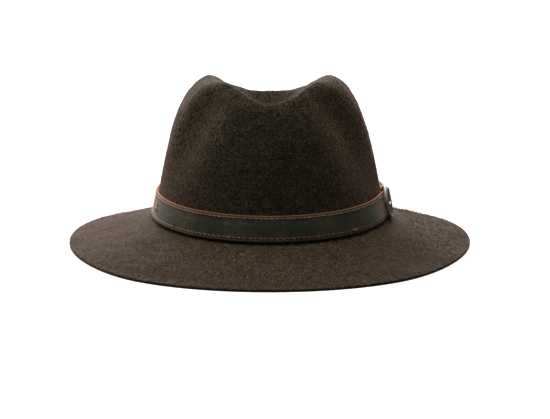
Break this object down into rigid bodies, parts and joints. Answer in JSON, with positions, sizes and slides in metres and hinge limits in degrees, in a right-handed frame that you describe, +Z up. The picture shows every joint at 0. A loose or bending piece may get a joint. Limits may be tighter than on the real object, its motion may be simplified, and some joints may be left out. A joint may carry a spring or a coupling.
{
  "type": "felt fedora hat",
  "caption": "Felt fedora with a creased teardrop crown, front pinches and a drooping brim, with a buckled leather band round the foot of the crown.",
  "frame": {"origin": "on the surface that the hat rests on, under the centre of its box", "axes": "+Z up, -Y towards the hat's front, +X towards the wearer's left, where the buckle is"},
  "size_m": [0.2968, 0.3294, 0.1259],
  "materials": {
    "brown_felt": "mottled dark brown wool felt",
    "waxed_leather": "dark waxed leather with raw rust-coloured edges",
    "aged_metal": "aged silver-coloured metal"
  },
  "bodies": {
    "root": {"felt_body": "brown_felt", "strap_band": "waxed_leather", "buckle_frame": "aged_metal", "buckle_prong": "aged_metal"}
  },
  "joints": []
}
